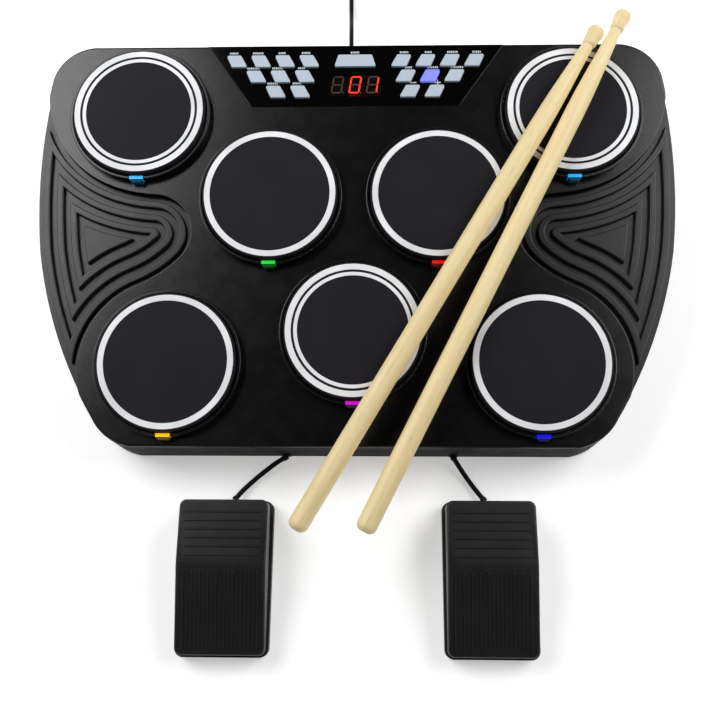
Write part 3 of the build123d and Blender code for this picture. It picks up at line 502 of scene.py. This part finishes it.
def make_digits():
    """Three digits of seven segments and their points, some segments lit."""
    lit, dim = bmesh.new(), bmesh.new()
    for left, shown in zip(DIGIT_LEFTS, SHOWN):
        for letter in ALL_SEGMENTS:
            work = lit if letter in shown else dim
            plate(work, segment_outline(letter, left), SEGMENT_FOOT, SEGMENT_TOP)
        dot = circle(left + DIGIT_W + DOT_FROM_DIGIT, DIGIT_BOTTOM + DOT_RISE, DOT_R, 20)
        plate(dim, dot, SEGMENT_FOOT, SEGMENT_TOP)
    piece_from(lit, "digits_lit", "drum", [display_lit])
    piece_from(dim, "digits_unlit", "drum", [display_dim])


# Marks printed above the keys: how many small blocks, one key after the other.
MARKS = (5, 4, 6, 5, 4, 6, 7, 5, 6)
BLOCK_WIDTHS = (1.0, 0.7, 1.1)
BLOCK_GAP = 0.4
MARK_H = 1.5
MARK_RISE = 7.2
MARK_SHIFT = {"left": -2.3, "right": 2.3, "power": 0.0}
SIGN_ARM = 2.3               # half the length of the bars of the signs above the last two keys
SIGN_H = 0.8
UPRIGHT_RISE = SIGN_ARM / 2 + 0.2
UPRIGHT_H = SIGN_ARM - 0.4
SIGN_KEYS = {"right_key_8": "minus", "right_key_9": "plus"}
MARK_FOOT = FASCIA_TOP - 0.02
MARK_TOP = FASCIA_TOP + 0.03


def bar(work, x, y, width, height):
    """A printed bar whose left end is at x, with y along its middle."""
    low, high = y - height / 2, y + height / 2
    corners = [(x, low), (x + width, low), (x + width, high), (x, high)]
    plate(work, corners, MARK_FOOT, MARK_TOP)


def make_marks():
    """Rows of plain blocks above the keys, and a minus and a plus above the last two."""
    work = bmesh.new()
    keys = [f"{group}_key_{n}" for group in ("left", "right") for n in range(1, 10)] + ["power_key"]
    for number, key in enumerate(keys):
        low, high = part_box(key)
        middle = TO_DECK @ ((low + high) / 2)
        widths = [BLOCK_WIDTHS[k % len(BLOCK_WIDTHS)] for k in range(MARKS[number % len(MARKS)])]
        centre = middle.x + MARK_SHIFT[key.split("_")[0]]
        y = middle.y + MARK_RISE
        if key in SIGN_KEYS:
            bar(work, centre - SIGN_ARM, y, 2 * SIGN_ARM, SIGN_H)
            if SIGN_KEYS[key] == "plus":
                bar(work, centre - SIGN_H / 2, y + UPRIGHT_RISE, SIGN_H, UPRIGHT_H)
                bar(work, centre - SIGN_H / 2, y - UPRIGHT_RISE, SIGN_H, UPRIGHT_H)
            continue
        x = centre - sum(width + BLOCK_GAP for width in widths) / 2
        for width in widths:
            bar(work, x, y, width, MARK_H)
            x += width + BLOCK_GAP
    piece_from(work, "panel_marks", "drum", [panel_print])


# ---- cords -------------------------------------------------------------------------------------
# Control points from the drum's middle, in millimetres, the same as the CAD's routes.
POWER_ROUTE = [(-4.8, 179.86, 22.1), (-4.8, 190, 22.1), (-5.1, 203, 17.4), (-5.5, 216, 9.4),
               (-5.8, 229, 3.6), (-6.1, 247, 2.4), (-6.1, 259, 2.4)]
POWER_R = 1.8
COIL_R = 20.0
COIL_HALF_W = 5.7
COIL_TURN_OUT = COIL_R + COIL_HALF_W - POWER_R
COIL_CENTRE = (POWER_ROUTE[-1][0] + COIL_TURN_OUT, 288.0)
COIL_COLUMNS = 3
COLUMN_PITCH = 3.8
ROW_PITCH = 3.7
TURNS = 11.25
POINTS_PER_TURN = 16
STEP_SHARE = 0.16             # of a turn, in which it moves over to the next place
STEP_START = 0.84
ROW_STEP_START = 0.68
COIL_CLEARANCE = 0.1
TAIL_ROUTE = [(15, COIL_TURN_OUT, 13.0), (23, COIL_TURN_OUT, 13.0), (32, 23.0, 10.6), (41, 20.4, 6.6),
              (50, 16.6, 3.9), (58, 12.2, 3.9)]
PEDAL_R = 1.75
PEDAL_ROUTES = {
    "left": [(-48.8, -148.6, 8.8), (-53.3, -150.9, 7.2), (-59.4, -154.9, 4.4), (-66.2, -160.0, 2.8),
             (-72.4, -165.5, 2.5), (-77.6, -170.8, 3.2), (-81.1, -175.3, 4.0)],
    "right": [(70.0, -148.6, 8.6), (72.0, -151.4, 6.9), (75.3, -156.0, 4.2), (79.1, -161.4, 2.7),
              (83.0, -166.9, 2.6), (86.5, -171.6, 3.3), (89.0, -175.0, 4.0)],
}


def coil_place(turn):
    """Radius and height of the coil's line after so many turns: wound in, up, out, up, in, up and out."""
    whole = int(turn)
    part = turn - whole

    def slot_of(n):
        row, step = divmod(n, COIL_COLUMNS)
        return (step if row % 2 == 0 else COIL_COLUMNS - 1 - step), row

    (column, row), (next_column, next_row) = slot_of(whole), slot_of(whole + 1)
    start = ROW_STEP_START if next_row != row else STEP_START
    move = min(1.0, max(0.0, (part - start) / STEP_SHARE))
    move = move * move * (3 - 2 * move)
    column += (next_column - column) * move
    row += (next_row - row) * move
    return COIL_TURN_OUT - COLUMN_PITCH * column, POWER_R + COIL_CLEARANCE + ROW_PITCH * row


def coil_points():
    """The turns' control points, set out a little so that the spline through them has the turns' size."""
    stretch = 1 / math.cos(math.pi / POINTS_PER_TURN)
    points = []
    for k in range(1, int(TURNS * POINTS_PER_TURN)):
        turn = k / POINTS_PER_TURN
        radius, height = coil_place(turn)
        angle = math.pi - 2 * math.pi * turn
        points.append((COIL_CENTRE[0] + radius * stretch * math.cos(angle),
                       COIL_CENTRE[1] + radius * stretch * math.sin(angle), height))
    return points


def cord_curve(name, points, radius, material):
    curve = bpy.data.curves.new(name, "CURVE")
    curve.dimensions = "3D"
    curve.bevel_depth = radius * MM
    curve.bevel_resolution = 6
    curve.resolution_u = 12
    curve.use_fill_caps = True
    spline = curve.splines.new("NURBS")
    spline.points.add(len(points) - 1)
    for target, point in zip(spline.points, points):
        target.co = (*(PLAN @ Vector(point)), 1)
    spline.order_u = 3
    spline.use_endpoint_u = True
    curve.materials.append(material)
    cord = bpy.data.objects.new(name, curve)
    bpy.context.scene.collection.objects.link(cord)
    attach(cord, "drum")
    return cord


def length_of(cord):
    """The length of a curve's own line."""
    bare = cord.data.copy()
    bare.bevel_depth = 0
    probe = bpy.data.objects.new("probe", bare)
    mesh = bpy.data.meshes.new_from_object(probe)
    places = [vertex.co for vertex in mesh.vertices]
    length = sum((places[a] - places[b]).length for a, b in (edge.vertices for edge in mesh.edges))
    bpy.data.objects.remove(probe)
    bpy.data.meshes.remove(mesh)
    return length


def make_cords():
    tail = [(COIL_CENTRE[0] + x, COIL_CENTRE[1] + y, z) for x, y, z in TAIL_ROUTE]
    power = cord_curve("power_lead", POWER_ROUTE + coil_points() + tail, POWER_R, cord_rubber)
    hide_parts("power_cord", "power_coil")
    length = length_of(power)
    print("power cord length", round(length, 4))
    for pedal, route in PEDAL_ROUTES.items():
        cord = cord_curve(f"{pedal}_pedal_lead", route, PEDAL_R, cord_rubber)
        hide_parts(f"{pedal}_pedal_cord")
        length = length_of(cord)
        print(pedal, "pedal cord length", round(length, 4))


# ---- CAD nodes that keep their shape -----------------------------------------------------------
def dress_nodes():
    dress = {
        "bottom_casing": lower_plastic, "control_fascia": fascia_gloss, "display_window": display_glass,
        "digit_display": display_module, "key_board": circuit_board, "key_switches": switch_plastic,
        "foam_rings": foam, "pad_plates": plate_steel, "piezo_sensors": piezo_brass,
        "casing_screws": screw_steel,
        "rubber_feet": foot_rubber, "main_board": circuit_board, "speakers": speaker_metal,
        "power_jack": switch_plastic, "power_barrel_plug": gland_rubber, "power_plug": gland_rubber,
        "pedal_pins": screw_steel, "pedal_switches": switch_plastic, "cord_glands": gland_rubber,
        "power_key": key_plastic,
        "left_pedal_base": pedal_base_plastic, "right_pedal_base": pedal_base_plastic,
        "left_pedal_treadle": pedal_plastic, "right_pedal_treadle": pedal_plastic,
        "left_pedal_spring": spring_steel, "right_pedal_spring": spring_steel,
    }
    dress.update({f"pad_skin_{n}": pad_rubber for n in range(1, 8)})
    dress.update({f"{group}_key_{n}": key_plastic for group in ("left", "right") for n in range(1, 10)})
    dress["right_key_6"] = key_lit
    for node, material in dress.items():
        give(node, material)


STICK_BEARINGS = {"drumstick_left": 59.2, "drumstick_right": 63.1}     # on the deck, the same as in CAD


def make_stick_materials():
    """Wood for each stick, its grain turned to the stick's own length."""
    for seed, (node, bearing) in enumerate(STICK_BEARINGS.items()):
        low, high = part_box(node)
        turn = Matrix.Rotation(TILT, 4, "X") @ Matrix.Rotation(math.radians(bearing), 4, "Z")
        give(node, maple(f"stick_wood_{seed + 1}", (low + high) / 2, turn.to_euler(), seed))


# ---- stage -------------------------------------------------------------------------------------
FLOOR_HALF = 4.0
FLOOR_DROP = 0.0003
SKY = ((0.0, 0.35), (0.45, 0.3), (0.75, 0.03), (1.0, 0.01))     # height and grey
SOFTBOX_SIZE = (0.8, 0.7)
SOFTBOXES = {
    "left_softbox": ((-0.74, 0.42, 0.82), (-0.1, 0.06, 0.04), 9.6),
    "right_softbox": ((0.85, 0.32, 0.78), (0.1, 0.06, 0.04), 8.5),
}


def make_stage():
    """A white paper floor that gives off a little light, just under the feet."""
    work = bmesh.new()
    bmesh.ops.create_grid(work, x_segments=1, y_segments=1, size=FLOOR_HALF)
    mesh = bpy.data.meshes.new("floor")
    work.to_mesh(mesh)
    work.free()
    floor = bpy.data.objects.new("floor", mesh)
    bpy.context.scene.collection.objects.link(floor)
    floor.location.z = -FLOOR_DROP
    paper = plastic("floor_paper", (0.92, 0.92, 0.92), 0.9, Specular_IOR_Level=0.1, Emission_Strength=0.42)
    mesh.materials.append(paper)


def softbox(name, place, target, power):
    """A rectangular studio light at a place, aimed at a target."""
    data = bpy.data.lights.new(name, "AREA")
    data.shape = "RECTANGLE"
    data.size, data.size_y = SOFTBOX_SIZE
    data.energy = power
    light = bpy.data.objects.new(name, data)
    light.location = place
    light.rotation_euler = (Vector(place) - Vector(target)).to_track_quat("Z", "Y").to_euler()
    bpy.context.scene.collection.objects.link(light)


def make_lights():
    """A studio: grey round the horizon, dark overhead, and a big softbox on each side."""
    world = bpy.data.worlds.new("studio")
    world.use_nodes = True
    tree = world.node_tree
    background = tree.nodes["Background"]
    around = tree.nodes.new("ShaderNodeTexCoord")
    split = tree.nodes.new("ShaderNodeSeparateXYZ")
    shade = tree.nodes.new("ShaderNodeValToRGB")
    elements = shade.color_ramp.elements
    for stop, (height, grey) in enumerate(SKY):
        element = elements[stop] if stop < 2 else elements.new(height)
        element.position = height
        element.color = (grey, grey, grey, 1)
    tree.links.new(around.outputs["Generated"], split.inputs["Vector"])
    tree.links.new(split.outputs["Z"], shade.inputs["Fac"])
    tree.links.new(shade.outputs["Color"], background.inputs["Color"])
    bpy.context.scene.world = world
    for name, (place, target, power) in SOFTBOXES.items():
        softbox(name, place, target, power)


CAMERA_PLACE = (0.0179, DRUM_Y - 0.2509, 0.5714)
CAMERA_TURN = (17.215, 1.28, 0.47)     # degrees from straight down
LENS = 40.8


def make_camera():
    data = bpy.data.cameras.new("camera")
    data.lens = LENS
    data.sensor_width = 36
    camera = bpy.data.objects.new("camera", data)
    camera.location = CAMERA_PLACE
    camera.rotation_euler = [math.radians(angle) for angle in CAMERA_TURN]
    bpy.context.scene.collection.objects.link(camera)
    bpy.context.scene.camera = camera


make_camera()
make_cords()
dress_nodes()
make_stick_materials()
make_top_casing()
make_side_panels()
make_treadles()
squash_springs()
make_pad_rings()
make_indicators()
make_digits()
make_marks()
make_stage()
make_lights()
bpy.context.scene.view_settings.view_transform = "Standard"
